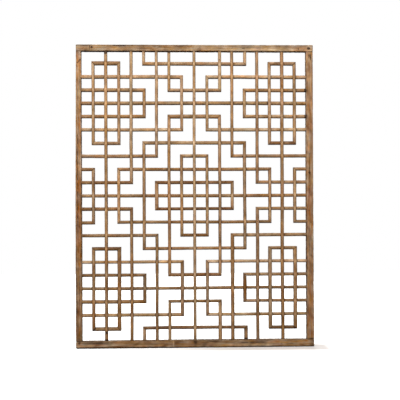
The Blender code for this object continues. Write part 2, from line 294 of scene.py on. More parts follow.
def old_wood(name, pale, dark, worn, soiled_and_shaded, stained, ring_spacing, figure, bump):
    """Bare old wood. Rings and streaks move the colour from pale to dark, and stain and wear are laid over
    it. The piece's own tone and the blotches then shift it, and the foot darkens it with painted shade.
    Dust, dirt with painted shade, and knots lie on top. Worn wood is smoother, and wood under dirt and
    painted shade rougher."""
    material = bpy.data.materials.new(name)
    material.use_nodes = True
    tree = material.node_tree
    shader = tree.nodes["Principled BSDF"]
    log_place, tone, marks = (
        add_node(tree, "ShaderNodeAttribute", attribute_name=label).outputs["Vector"]
        for label in ("grain", "tone", "marks")
    )
    panel_place = add_node(tree, "ShaderNodeTexCoord").outputs["Object"]
    grain = add_group(tree, grain_group, {"Place": log_place, "Ring Spacing": ring_spacing})
    age = add_group(tree, ageing_group, {"Place": panel_place, "Marks": marks})

    share = maths(tree, "MULTIPLY", grain["Rings"], 0.42)
    share = maths(tree, "ADD", share, between(tree, grain["Streaks"], 0.3, 0.75))
    colour = mix_colour(tree, maths(tree, "MULTIPLY", share, 0.66, clamp=True), (*pale, 1), (*dark, 1))
    colour = lay_over(tree, colour, dark, between(tree, grain["Fibres"], 0.42, 0.72), 0.42)
    colour = lay_over(tree, colour, soiled_and_shaded, grain["Pores"], 0.5)
    colour = lay_over(tree, colour, stained, age["Stain"], 0.42)
    colour = lay_over(tree, colour, worn, age["Wear"], 0.6)
    own_tone = vector_maths(tree, "ADD", tone, vector_maths(tree, "MULTIPLY", age["Blotch"], BLOTCH))
    figured = vector_maths(tree, "MULTIPLY", grain["Figure"], figure)
    own_tone = vector_maths(tree, "ADD", own_tone, figured)
    lightness, warmth, greyness = add_node(tree, "ShaderNodeSeparateXYZ", {0: own_tone}).outputs
    # The foot darkens the tone: painted shade towards the bottom of the panel.
    lightness = maths(tree, "SUBTRACT", lightness, age["Foot Shade"])
    shades = {"Color": colour, "Lightness": lightness, "Warmth": warmth, "Greyness": greyness}
    colour = add_group(tree, tone_group, shades)["Color"]
    colour = lay_over(tree, colour, DUST_COLOUR, age["Dust"], 0.12)
    # The dirt mask, which also carries painted shade, lays the soiled colour on.
    colour = lay_over(tree, colour, soiled_and_shaded, age["Dirt And Shade"], 0.85)
    colour = lay_over(tree, colour, KNOT_COLOUR, age["Knot"], 0.9)
    tree.links.new(colour, shader.inputs["Base Color"])

    rough = maths(tree, "ADD", maths(tree, "MULTIPLY", grain["Fibres"], 0.25), 0.62)
    rough = maths(tree, "SUBTRACT", rough, maths(tree, "MULTIPLY", age["Wear"], 0.16))
    rough = maths(tree, "ADD", rough, maths(tree, "MULTIPLY", age["Dirt And Shade"], 0.12), clamp=True)
    tree.links.new(rough, shader.inputs["Roughness"])
    shader.inputs["Specular IOR Level"].default_value = WOOD_SPECULAR
    height = maths(tree, "SUBTRACT", grain["Relief"], maths(tree, "MULTIPLY", age["Knot"], 0.5))
    relief = {"Strength": bump, "Distance": RELIEF_HEIGHT, "Height": height}
    tree.links.new(add_node(tree, "ShaderNodeBump", relief).outputs[0], shader.inputs["Normal"])
    return material


frame_wood = old_wood(
    "frame_wood",
    pale=(0.47, 0.282, 0.142),
    dark=(0.20, 0.106, 0.046),
    worn=(0.60, 0.380, 0.205),
    soiled_and_shaded=(0.042, 0.020, 0.009),
    stained=(0.23, 0.140, 0.072),
    ring_spacing=0.0042,
    figure=(4.2, 4.6, 3.6),
    bump=0.55,
)

# Rounding of the long edges, the steps along a member, and the closer ones at its ends and at a mark
# that is shorter than SMALL_MARK, as shares of the mark's reach.
FRAME_FRONT_EDGE = 0.0026
FRAME_BACK_EDGE = 0.0012
FRAME_STEP = 0.0028
FIRST_STEP = 0.007
LAST_STEP = 0.0065
END_STEPS = np.array([0, 0.0004, 0.0012, 0.0024, 0.0045])
END_CLEAR = 0.006
SMALL_MARK = 0.006
SMALL_MARK_STEPS = np.array([-1.6, -0.8, 0, 0.8, 1.6])
PATTERN_HALF = 0.01

# How deep the front counts as front, how deep marks reach, and how far wear, knots and cracks sink.
FRONT_SKIN = 0.002
MARKED_DEPTH = 0.012
EDGE_STRAY = 0.0005
PLANED = 0.00035
EDGE_LOSS = 0.0009
KNOT_SINK = 0.0005
CRACK_SINK = 0.0009
CRACK_TAPER = 0.004
CRACK_WANDER = 0.0006


def box_section(half_width, depth, front_edge, back_edge):
    """A rectangle with rounded corners, once round from the front's left end: places across, from the
    middle, and in depth, from the front. Corners are quarter circles of their own radius."""
    quarter = np.radians([0, 22.5, 45, 67.5, 90])
    front = np.linspace(-1, 1, 11) * (half_width - front_edge)
    back = np.linspace(1, -1, 7) * (half_width - back_edge)
    side = np.linspace(0, 1, 8)[1:-1]
    front_across = half_width - front_edge + front_edge * np.sin(quarter)
    front_deep = front_edge * (1 - np.cos(quarter))
    back_across = half_width - back_edge + back_edge * np.cos(quarter)
    back_deep = depth - back_edge + back_edge * np.sin(quarter)
    run = front_edge + side * (depth - front_edge - back_edge)
    across = [front[:-1], front_across, np.full(6, half_width), back_across, back[1:-1]]
    across += [-back_across[::-1], np.full(6, -half_width), -front_across[::-1][:-1]]
    deep = [np.zeros(10), front_deep, run, back_deep, np.full(5, depth)]
    deep += [back_deep[::-1], run[::-1], front_deep[::-1][:-1]]
    return np.concatenate(across), np.concatenate(deep)


def soft_marks(marks, kind, along, across):
    """The sum of one kind's soft spots. Each mark is its kind, its place along the piece, its offset
    across it, its reach along and across, and its strength."""
    total = np.zeros_like(along)
    for name, place, offset, reach_along, reach_across, strength in marks:
        if name == kind:
            total += strength * spot(along, across, (place, offset), (reach_along, reach_across))
    return total


def frame_member(
    name, seed, upright, ends, inner, outer, sign, end_rounding, tone, side_dirt_and_shade, marks, cracks
):
    """A rail or stile. Its rounded rectangle is carried from end to end. inner gives its edge at the
    lattice and outer its outer edge, each at even steps from end to end, and sign tells on which side
    the outer edge lies. Every point then sinks towards the middle of the section by a share of its
    distance, by the planing waves and by the wear of the long edges and the ends. The offset of a
    mark or a crack is from the middle of the front, to the right on a stile and down on a rail."""
    rng = np.random.default_rng([11, seed])
    low, high = ends
    even = np.arange(low + FIRST_STEP, high - LAST_STEP, FRAME_STEP)
    small = [(mark[1], mark[3]) for mark in marks if mark[3] < SMALL_MARK]
    small = np.concatenate([place + reach * SMALL_MARK_STEPS for place, reach in small])
    small = np.clip(small, low + END_CLEAR, high - END_CLEAR)
    even = even[np.abs(even[:, None] - small).min(1) > 0.0005]
    places = np.unique(np.concatenate([low + END_STEPS, even, small, high - END_STEPS]))
    share = (places - low) / (high - low)
    outer_edge = np.interp(share, np.linspace(0, 1, len(outer)), outer)
    outer_edge = outer_edge - sign * np.abs(waves(rng, places, np.zeros(1), EDGE_STRAY, (0.12, 0.6)))
    inner_edge = np.interp(share, np.linspace(0, 1, len(inner)), inner)
    half = np.abs(outer_edge - inner_edge)[:, None] / 2
    middle = ((outer_edge + inner_edge) / 2)[:, None]
    depth = cad_high.y - cad_low.y
    across, deep = box_section(PATTERN_HALF, depth, FRAME_FRONT_EDGE, FRAME_BACK_EDGE)
    spread = np.clip(np.abs(across)[None] / (PATTERN_HALF - FRAME_FRONT_EDGE), 0, 1)
    across = across[None] + np.sign(across)[None] * (half - PATTERN_HALF) * spread
    deep = np.broadcast_to(deep, across.shape)
    around = np.broadcast_to(np.arange(across.shape[1]) * 2 * np.pi / across.shape[1], across.shape)
    along = np.broadcast_to(places[:, None], across.shape)

    towards_side = np.clip(np.abs(across) / half - 0.72, 0, 1) / 0.28
    towards_face = np.clip(np.abs(deep / depth - 0.5) - 0.38, 0, 1) / 0.12
    corner = towards_side * towards_face
    sink = np.abs(waves(rng, along, around, PLANED))
    sink = sink + corner * np.abs(waves(rng, along, around, EDGE_LOSS, (0.016, 0.12)))
    from_end = np.minimum(along - low, high - along)
    rounding = np.where(share[:, None] < 0.5, end_rounding[0], end_rounding[1])
    inside = np.clip(rounding - from_end, 0, None)
    sink = sink + rounding - np.sqrt(np.clip(rounding**2 - inside**2, 0, None))
    front_face = deep < FRONT_SKIN
    shown = deep < MARKED_DEPTH
    knot = soft_marks(marks, "knot", along, across) * shown
    for start, end, offset, width in cracks:
        line = np.clip((along - start) / CRACK_TAPER, 0, 1) * np.clip((end - along) / CRACK_TAPER, 0, 1)
        wander = waves(rng, along, np.zeros(1), CRACK_WANDER, (0.02, 0.08))
        crack = line * np.exp(-(((across - offset - wander) / width) ** 2)) * front_face
        knot = knot + crack
        sink = sink + CRACK_SINK * crack
    sink = sink + KNOT_SINK * np.clip(knot, 0, 1) * front_face
    across_now = across * (1 - sink / half)
    deep_now = depth / 2 + (deep - depth / 2) * (1 - sink / (depth / 2))

    direction = 1.0 if upright else -1.0
    sideways = middle + direction * across_now
    y = cad_low.y + deep_now
    points = np.stack([sideways, y, along] if upright else [along, y, sideways], -1)
    heart = rng.uniform((0, -0.02, 0.02), (50, 0.02, 0.05))
    grain = np.stack([along, across_now, deep_now], -1) + heart
    wear = 0.7 * corner + 0.2 * front_face + np.clip(waves(rng, along, around, 0.35, (0.05, 0.4)), 0, 1)
    wear = wear + soft_marks(marks, "rub", along, across) * shown
    joint = np.exp(-from_end / 0.0025) if upright else 0.3 * np.exp(-from_end / 0.004)
    inner_side = (direction * across * sign < 0) & (np.abs(across) > half * 0.9)
    # The inner side next to the lattice is darkened by the side value: painted shade of that recess, and
    # dirt.
    dirt_and_shade = joint + 0.25 * (deep > depth - FRONT_SKIN) + side_dirt_and_shade * inner_side * (deep > 0.003)
    dirt_and_shade = dirt_and_shade + np.clip(waves(rng, along, around, 0.3, (0.03, 0.3)), 0, 1)
    dirt_and_shade = dirt_and_shade + soft_marks(marks, "stain", along, across) * (deep < 0.02)
    wear_dirt_shade_knot = np.stack([wear, dirt_and_shade, knot], -1)
    drift = waves(rng, along, np.zeros(1), 0.5, (0.08, 0.7), 6)
    pale = soft_marks(marks, "pale", along, across)
    red = soft_marks(marks, "red", along, across) * shown
    own_tone = np.array(tone) + np.stack([drift + pale, 0.6 * drift + red, np.zeros_like(drift)], -1)
    piece = wood_skin(name + "_timber", points, grain, own_tone, np.clip(wear_dirt_shade_knot, 0, 1), frame_wood)
    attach(piece, "root")
    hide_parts(name)
    return piece


opening_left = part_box("left_stile")[1].x
opening_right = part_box("right_stile")[0].x
opening_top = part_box("top_rail")[0].z
opening_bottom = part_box("bottom_rail")[1].z
top, foot = cad_high.z, cad_low.z
left, right = cad_low.x, cad_high.x

# The seam at the stiles' upper ends, and the reach of a mark that runs along a whole member.
SEAM = 0.0003
WHOLE = 9.0

frame_member(
    "top_rail",
    seed=1,
    upright=False,
    ends=(left + 0.0037, right - 0.0005),
    inner=(opening_top, opening_top),
    outer=(top - 0.0007, top - 0.0010, top - 0.0001),
    sign=1,
    end_rounding=(0.0025, 0.003),
    tone=(-0.2, -0.25, 0.1),
    side_dirt_and_shade=0.12,
    marks=[
        ("knot", -0.4385, 0.0, 0.0016, 0.012, 1.1),
        ("knot", -0.4300, -0.0015, 0.0048, 0.0056, 1.2),
        ("knot", -0.3366, -0.0105, 0.006, 0.003, 0.8),
        ("knot", -0.3130, -0.0100, 0.017, 0.0026, 0.9),
        ("knot", -0.2950, -0.0090, 0.008, 0.0030, 0.8),
        ("knot", 0.4816, 0.0012, 0.0062, 0.0055, 1.6),
        ("knot", 0.4975, -0.006, 0.0018, 0.002, 0.9),
        ("knot", -0.3715, 0.0135, 0.005, 0.002, 0.9),
        ("stain", -0.315, -0.011, 0.027, 0.0050, 1.5),
        ("stain", 0.0, -0.0135, WHOLE, 0.0024, 0.55),
        ("stain", 0.0, -0.0060, WHOLE, 0.0035, 0.22),
        ("stain", -0.20, -0.012, 0.13, 0.0032, 0.7),
        ("stain", -0.222, 0.004, 0.030, 0.0020, 0.9),
        ("stain", -0.063, -0.0075, 0.018, 0.0024, 0.9),
        ("stain", -0.46, -0.010, 0.025, 0.004, 0.8),
        ("stain", -0.46, 0.010, 0.030, 0.002, 0.6),
        ("knot", 0.4383, 0.003, 0.0024, 0.006, 0.9),
        ("stain", 0.35, -0.0135, 0.14, 0.0018, 0.5),
        ("stain", 0.10, 0.002, 0.05, 0.0018, 0.4),
        ("stain", 0.21, -0.003, 0.04, 0.0016, 0.4),
        ("red", -0.478, 0.006, 0.018, 0.008, 1.1),
        ("red", 0.445, 0.005, 0.030, 0.006, 1.2),
        ("red", 0.44, 0.0, 0.07, WHOLE, 0.35),
        ("rub", 0.43, 0.006, 0.035, 0.003, 0.9),
        ("rub", 0.28, 0.005, 0.09, 0.004, 0.7),
        ("rub", 0.0, 0.0085, WHOLE, 0.0035, 0.35),
        ("rub", -0.10, 0.007, 0.03, 0.003, 0.6),
        ("pale", -0.44, 0.0, 0.07, WHOLE, 0.4),
        ("pale", -0.15, 0.0, 0.13, WHOLE, -0.75),
        ("pale", 0.25, 0.0, 0.06, WHOLE, 0.6),
        ("pale", 0.45, 0.0, 0.07, WHOLE, 0.5),
    ],
    cracks=[(-0.22, -0.12, -0.006, 0.0007), (0.12, 0.27, 0.003, 0.0006)],
)
frame_member(
    "bottom_rail",
    seed=2,
    upright=False,
    ends=(left, right - 0.0012),
    inner=(opening_bottom - 0.0012, opening_bottom, opening_bottom - 0.0012),
    outer=(foot + 0.0006, foot, foot),
    sign=-1,
    end_rounding=(0.006, 0.0025),
    tone=(0.68, 0.25, 0.05),
    side_dirt_and_shade=0.4,
    marks=[
        # The first six marks darken the lower front edge nearly to black, along the whole rail and more on
        # its left: painted shade of the rounded edge that faces down and of its contact with the floor, and
        # dirt.
        ("stain", 0.0, 0.0150, WHOLE, 0.0034, 2.0),
        ("knot", 0.0, 0.0162, WHOLE, 0.0034, 0.85),
        ("knot", -0.32, 0.0155, 0.26, 0.0040, 0.8),
        ("stain", -0.30, 0.0140, 0.30, 0.0030, 2.0),
        ("stain", -0.47, 0.0130, 0.07, 0.0030, 2.0),
        ("knot", -0.47, 0.0145, 0.07, 0.0034, 0.9),
        ("stain", 0.0, -0.0140, WHOLE, 0.0040, 0.35),
        ("stain", -0.415, -0.008, 0.05, 0.004, 0.8),
        ("stain", -0.33, 0.006, 0.04, 0.003, 0.5),
        ("stain", -0.20, -0.002, 0.07, 0.004, 0.45),
        ("stain", -0.0015, -0.008, 0.006, 0.008, 1.1),
        ("stain", 0.079, -0.0115, 0.02, 0.003, 1.1),
        ("stain", 0.22, -0.004, 0.06, 0.003, 0.5),
        ("stain", -0.486, -0.009, 0.004, 0.006, 1.1),
        ("stain", 0.40, 0.002, 0.03, 0.002, 0.5),
        ("rub", 0.0, 0.0085, WHOLE, 0.0030, 0.55),
        ("rub", -0.40, 0.002, 0.055, 0.0028, 1.4),
        ("rub", -0.4786, 0.002, 0.010, 0.006, 1.2),
        ("rub", -0.3624, -0.010, 0.006, 0.005, 1.2),
        ("rub", -0.0932, -0.003, 0.0024, 0.009, 1.8),
        ("pale", -0.0932, -0.002, 0.0026, 0.012, 1.8),
        ("rub", -0.0288, -0.0076, 0.010, 0.0016, 1.5),
        ("rub", 0.35, 0.003, 0.13, 0.003, 0.8),
        ("rub", 0.15, 0.005, 0.03, 0.003, 0.9),
        ("red", 0.325, -0.009, 0.04, 0.005, 1.4),
        ("red", 0.4653, -0.0105, 0.006, 0.005, 2.2),
        ("red", -0.48, 0.0, 0.01, 0.01, 0.9),
        ("red", 0.02, -0.002, 0.06, 0.006, 0.8),
        ("knot", 0.4914, 0.0050, 0.0026, 0.0026, 1.2),
        ("knot", 0.36, 0.0, 0.004, 0.003, 0.7),
        ("knot", -0.16, -0.010, 0.003, 0.003, 0.6),
        ("pale", -0.25, 0.0, 0.12, WHOLE, 0.35),
        ("pale", -0.46, 0.0, 0.05, WHOLE, 0.3),
        ("pale", -0.05, 0.0, 0.06, WHOLE, -0.55),
        ("pale", 0.20, 0.0, 0.10, WHOLE, 0.75),
        ("red", -0.44, 0.0, 0.06, WHOLE, 0.4),
    ],
    cracks=[
        (-0.05, 0.12, 0.004, 0.0007),
        (0.18, 0.30, -0.005, 0.0006),
        (-0.30, -0.14, -0.001, 0.0006),
    ],
)
frame_member(
    "left_stile",
    seed=3,
    upright=True,
    ends=(opening_bottom - 0.0011, opening_top - SEAM),
    inner=(opening_left + 0.0012, opening_left),
    outer=(left, left, left + 0.0036),
    sign=-1,
    end_rounding=(0.0006, 0.0006),
    tone=(0.40, 0.15, 0.0),
    side_dirt_and_shade=0.0,
    marks=[
        ("knot", -0.0500, 0.0080, 0.0044, 0.0052, 0.75),
        ("knot", -0.0570, 0.0025, 0.0044, 0.0052, 0.75),
        ("knot", -0.0640, -0.0040, 0.0042, 0.0052, 0.65),
        ("knot", -0.2074, -0.001, 0.0022, 0.0022, 0.9),
        ("red", -0.056, 0.003, 0.016, 0.010, 0.9),
        ("red", -0.030, -0.004, 0.012, 0.006, 0.8),
        ("red", -0.62, 0.0, 0.25, 0.010, 1.3),
        ("red", -1.00, 0.003, 0.10, 0.006, 0.9),
        ("rub", -0.20, 0.003, 0.12, 0.004, 0.5),
        ("rub", -0.036, 0.004, 0.006, 0.004, 0.9),
        ("stain", -0.90, 0.0120, 0.50, 0.0022, 0.3),
        ("rub", -0.60, 0.0128, WHOLE, 0.0018, 1.0),
        ("stain", -0.25, 0.0120, 0.25, 0.0014, 0.5),
        ("stain", -1.217, 0.002, 0.008, 0.005, 0.5),
        ("stain", -1.10, -0.008, 0.20, 0.004, 0.5),
        ("stain", -1.0, 0.004, 0.05, 0.003, 0.5),
        ("stain", -0.48, -0.006, 0.06, 0.0022, 0.5),
        ("stain", -0.35, 0.002, 0.04, 0.0018, 0.5),
        ("pale", -0.18, 0.0, 0.20, WHOLE, -0.7),
        ("pale", -0.74, 0.0, 0.14, WHOLE, -0.7),
        ("pale", -1.04, 0.0, 0.06, WHOLE, 0.45),
        ("red", -0.76, 0.0, 0.14, WHOLE, 0.4),
        ("red", -1.17, 0.0, 0.06, WHOLE, 0.45),
    ],
    cracks=[(-0.75, -0.35, -0.004, 0.0007), (-1.15, -0.85, 0.003, 0.0007)],
)
frame_member(
    "right_stile",
    seed=4,
    upright=True,
    ends=(opening_bottom - 0.0011, opening_top - SEAM),
    inner=(opening_right - 0.0014, opening_right),
    outer=(right - 0.0006, right - 0.0013, right - 0.0008),
    sign=1,
    end_rounding=(0.0008, 0.0006),
    tone=(0.8, 0.45, 0.03),
    side_dirt_and_shade=0.2,
    marks=[
        ("knot", -0.5253, -0.0016, 0.0050, 0.0044, 1.6),
        ("knot", -0.62, 0.0035, 0.003, 0.0022, 1.0),
        ("knot", -0.686, -0.004, 0.003, 0.0022, 1.0),
        ("knot", -0.262, 0.002, 0.0026, 0.002, 0.9),
        ("knot", -0.322, -0.003, 0.0026, 0.002, 0.9),
        ("knot", -0.595, -0.005, 0.0026, 0.002, 0.9),
        ("knot", -0.735, 0.003, 0.003, 0.0022, 0.9),
        ("stain", -0.1807, -0.0140, 0.006, 0.004, 1.3),
        ("stain", -0.2880, -0.0140, 0.007, 0.004, 1.6),
        ("stain", -0.28, 0.0, 0.05, 0.010, 0.3),
        ("stain", -0.90, -0.0145, 0.45, 0.0022, 0.3),
        ("stain", -0.16, 0.0145, 0.18, 0.0018, 0.7),
        ("stain", -0.42, 0.004, 0.05, 0.002, 0.6),
        ("stain", -0.84, -0.003, 0.06, 0.002, 0.5),
        ("stain", -1.224, 0.0, 0.002, 0.014, 0.6),
        ("knot", -0.0370, 0.0050, 0.017, 0.0024, 1.1),
        ("knot", -0.0330, -0.0020, 0.012, 0.0025, 1.1),
        ("rub", -0.12, -0.004, 0.08, 0.004, 0.7),
        ("rub", -0.40, -0.006, 0.06, 0.003, 0.8),
        ("red", -0.30, 0.004, 0.05, 0.009, 1.0),
        ("red", -0.64, -0.002, 0.08, 0.009, 1.3),
        ("red", -0.98, 0.004, 0.12, 0.008, 0.9),
        ("red", -0.32, 0.0, 0.07, WHOLE, 0.3),
        ("red", -1.15, 0.0, 0.09, WHOLE, 0.65),
        ("pale", -0.12, 0.0, 0.15, WHOLE, -0.9),
        ("pale", -0.68, 0.0, 0.07, WHOLE, -0.6),
        ("pale", -1.17, 0.0, 0.06, WHOLE, 0.3),
        ("knot", -0.875, 0.002, 0.0030, 0.0022, 0.8),
        ("knot", -0.955, -0.005, 0.0026, 0.0020, 0.8),
        ("knot", -1.04, 0.006, 0.0026, 0.0020, 0.8),
        ("knot", -1.105, -0.001, 0.0028, 0.0022, 0.8),
        ("stain", -0.70, 0.0150, 0.60, 0.0022, 0.5),
    ],
    cracks=[(-0.62, -0.44, 0.0, 0.0007)],
)

# Lattice bars. A hundred short lengths of the same wood, planed to a round front on a square back.
# They are halved over each other where they cross, the uprights whole at the front, mitred and
# glued at the corners of each figure, and let into the frame at its edges.

bar_wood = old_wood(
    "bar_wood",
    pale=(0.46, 0.268, 0.130),
    dark=(0.21, 0.107, 0.044),
    worn=(0.62, 0.378, 0.192),
    soiled_and_shaded=(0.060, 0.029, 0.012),
    stained=(0.25, 0.154, 0.078),
    ring_spacing=0.0031,
    figure=(2.6, 2.4, 1.6),
    bump=0.5,
)

BAR_WIDTH = 0.013
BAR_DEPTH = 0.016
BAR_ROUND = 0.0045
BAR_CROWN_Y = -0.025
BAR_STEP = 0.0055
BAR_SKIN = 0.0001
LAP_DEPTH = BAR_DEPTH / 2
LAP_GAP = 0.0003
LAP_CLEAR = 0.01
FRAME_ENTRY = 0.002
MITRE_FADE = 0.016
MITRE_GROOVE = 0.00022
CORNER_LOSS_REACH = 0.0024

# Nicks and small knots: how many, and how far they reach along a bar and round it.
NICK_SPACING = 0.12
NICK_DEPTH = 0.0009
NICK_REACH = (0.003, 0.45)
KNOTS_A_METRE = 2.2
KNOT_REACH = (0.0028, 0.5)
LARGE_KNOT_REACH = (0.006, 1.0)

# How far from a crossing or an end its wear, its painted shade and its dirt fade.
CROSSING_WEAR = 0.0065
CROSSING_SHADE = 0.0028
JOINT_DIRT = 0.0019
JOINT_BLACK = 0.0075

# How far some sides of the figures stand off the even grid.
STRAYS = {
    "corner_ring_bottom_left": {"bottom": -0.0030, "right": 0.0012},
    "long_hook_bottom_left": {"bottom": -0.0011},
    "long_hook_bottom_right": {"bottom": -0.0012},
    "short_hook_bottom_right": {"left": -0.0012},
    "slim_ring": {"left": -0.0012},
    "long_hook_top_right": {"left": 0.0012},
    "corner_ring_bottom_right": {"bottom": -0.0020},
    "corner_ring_top_left": {"top": 0.0016, "bottom": -0.0016, "right": 0.0015},
    "corner_ring_top_right": {"top": 0.0015, "bottom": -0.0013},
    "wide_hook_bottom": {"right": 0.0026},
    "wide_hook_top": {"right": 0.0024},
    "deep_hook_top": {"right": 0.0019},
    "narrow_hook_left": {"bottom": -0.0018},
    "short_hook_top_left": {"right": 0.0016},
    "short_hook_bottom_left": {"right": 0.0016},
}

figure_names = sorted(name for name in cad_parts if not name.endswith(("_rail", "_stile")))
bars = []
for figure in figure_names:
    low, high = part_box(figure)
    half = BAR_WIDTH / 2
    enters = {
        "left": low.x < opening_left,
        "right": high.x > opening_right,
        "bottom": low.z < opening_bottom,
        "top": high.z > opening_top,
    }
    lines = {
        "left": opening_left if enters["left"] else low.x + half,
        "right": opening_right if enters["right"] else high.x - half,
        "bottom": opening_bottom if enters["bottom"] else low.z + half,
        "top": opening_top if enters["top"] else high.z - half,
    }
    for side, stray in STRAYS.get(figure, {}).items():
        lines[side] += stray
    single = "_bar_" in figure
    for side, sign in (("left", 1), ("right", -1), ("bottom", -1), ("top", 1)):
        upright = side in ("left", "right")
        if enters[side] or single and side in ("right", "top"):
            continue
        first, last = ("bottom", "top") if upright else ("left", "right")
        if lines[first] >= lines[last] - BAR_WIDTH:
            continue
        bars.append({
            "name": figure if single else f"{figure}_{side}",
            "figure": figure,
            "upright": upright,
            "line": lines[side],
            "low": lines[first],
            "high": lines[last],
            "low_fixed": enters[first],
            "high_fixed": enters[last],
            "turn": sign,
        })

# Level bars grow wider towards the top by WIDER on each side, and the broad ones are wider by BROAD.
WIDER = 0.0007
BROAD = 0.0012
BROAD_BARS = set(
    "short_hook_bottom_left_right short_hook_bottom_right_left corner_ring_bottom_left_bottom "
    "corner_ring_bottom_right_left deep_hook_bottom_right long_hook_bottom_left_right tall_ring_top "
    "corner_ring_bottom_left_top corner_ring_bottom_left_right outer_elbow_bottom_left_top "
    "flat_ring_left short_hook_bottom_left_bottom corner_ring_top_left_top wide_hook_bottom_right "
    "corner_ring_bottom_right_right inner_elbow_bottom_right_left".split()
)

# Bar ends that age has turned black: 0 is the left or lower end, and 1 the other.
BLACK_JOINTS = [
    ("upright_bar_left", 1), ("short_hook_top_right_bottom", 1), ("short_hook_top_right_top", 1),
    ("upright_bar_left", 0), ("deep_hook_top_left", 1), ("wide_hook_bottom_right", 0),
    ("corner_ring_bottom_left_bottom", 0), ("corner_ring_bottom_right_bottom", 1),
]

# Places of large knots along a bar, and shades of bars that are clearly darker or lighter than most.
KNOTS = {"upright_bar_left": (-1.192, -0.0205), "level_bar_upper": (0.31,)}
SHADES = {
    -1.8: "corner_ring_bottom_right_bottom corner_ring_top_right_bottom slim_ring_bottom flat_ring_bottom "
    "corner_ring_bottom_left_top",
    -0.9: "short_hook_bottom_right_left wide_hook_bottom_top flat_ring_top corner_ring_top_left_top "
    "tall_ring_bottom outer_elbow_top_left_bottom deep_hook_bottom_top outer_elbow_bottom_left_top "
    "narrow_hook_left_top wide_ring_bottom tall_ring_top short_hook_bottom_left_top",
    0.5: "long_hook_top_left_right long_hook_top_left_top long_hook_bottom_right_left "
    "inner_elbow_top_left_bottom outer_elbow_top_right_bottom deep_hook_bottom_left "
    "inner_elbow_bottom_right_top narrow_hook_right_left corner_ring_bottom_right_left "
    "corner_ring_bottom_right_right slim_ring_right",
    0.9: "wide_hook_bottom_left long_hook_top_right_bottom deep_hook_bottom_right "
    "long_hook_bottom_right_bottom long_hook_bottom_left_bottom upright_bar_middle "
    "long_hook_top_left_bottom long_hook_top_right_top wide_ring_left short_hook_top_right_bottom "
    "deep_hook_top_right",
    1.5: "long_hook_bottom_left_top long_hook_bottom_right_top wide_hook_top_right",
}
shade_of = {name: shade for shade, names in SHADES.items() for name in names.split()}

for number, bar in enumerate(bars):
    rng = np.random.default_rng([23, number])
    length = bar["high"] - bar["low"]
    bar["rng"] = rng
    bar["half"] = BAR_WIDTH / 2 * (1 + np.clip(rng.normal(0, 0.03), -0.06, 0.06))
    if not bar["upright"]:
        bar["half"] += WIDER * np.clip((bar["line"] - cad_low.z) / 0.35 - 1, 0, 1)
    if bar["name"] in BROAD_BARS:
        bar["half"] += BROAD
    bar["bow"] = min(0.0011, 0.0016 * length) * rng.uniform(-1, 1, 3)
    bar["tone"] = rng.uniform((-0.4, -0.4, -0.1), (0.4, 0.4, 0.25))
    bar["tone"][0] += shade_of.get(bar["name"], 0)
    bar["joint_dirt"] = rng.uniform(0.4, 1.3, 2)
    bar["joint_black"] = [(bar["name"], end) in BLACK_JOINTS for end in (0, 1)]


def bow_of(bar, place):
    """How far a bar strays sideways at a place: three sine arches over its length, nothing at its ends."""
    share = (np.asarray(place, float) - bar["low"]) / (bar["high"] - bar["low"])
    arches = np.sin(np.pi * share[..., None] * np.array([1, 2, 5])) * np.array([1, 0.6, 0.35])
    return np.clip(share > 0, 0, 1) * (share < 1) * (arches * bar["bow"]).sum(-1)


def bar_stations(bar, crossings):
    """Places along a bar: even steps, closer ones near a mitre, and a close pair at each lap's wall."""
    low = bar["low"] - (FRAME_ENTRY if bar["low_fixed"] else 0)
    high = bar["high"] + (FRAME_ENTRY if bar["high_fixed"] else 0)
    fine = np.array([0, 0.0003, 0.0009, 0.0018, 0.003, 0.005, 0.008, 0.012, MITRE_FADE])
    special = [low + fine, high - fine]
    for centre, reach in crossings:
        steps = np.array([0, 0.5 * reach, reach - 2e-5, reach + 2e-5, reach + 0.0016, reach + 0.005])
        special.append(centre + np.concatenate([-steps[::-1], steps[1:]]))
    special = np.concatenate(special)
    even = np.arange(low, high, BAR_STEP)
    even = even[np.abs(even[:, None] - special).min(1) > 0.0022]
    return np.unique(np.concatenate([even, special]))


def mate_half(bar, end):
    """Half the width of the bar that meets this one in a mitre at a place, or of this one if none does."""
    mates = [
        other["half"]
        for other in bars
        if other["figure"] == bar["figure"] and other["upright"] != bar["upright"] and other["line"] == end
    ]
    return mates[0] if mates else bar["half"]


def bar_section():
    """A bar's section, once round from the front's left end, as shares: across the half width, up the
    round front, which is half an ellipse (sine and cosine of its turn), and down the sides."""
    turn = np.radians([-90, -64, -42, -21, 0, 21, 42, 64, 90])
    across = np.concatenate([np.sin(turn), [1, 1, 1, 0.88, 0, -0.88, -1, -1, -1]])
    round_up = np.concatenate([np.cos(turn), np.zeros(9)])
    down = np.concatenate([np.zeros(9), [0.34, 0.68, 0.94, 1, 1, 1, 0.94, 0.68, 0.34]])
    return across, round_up, down


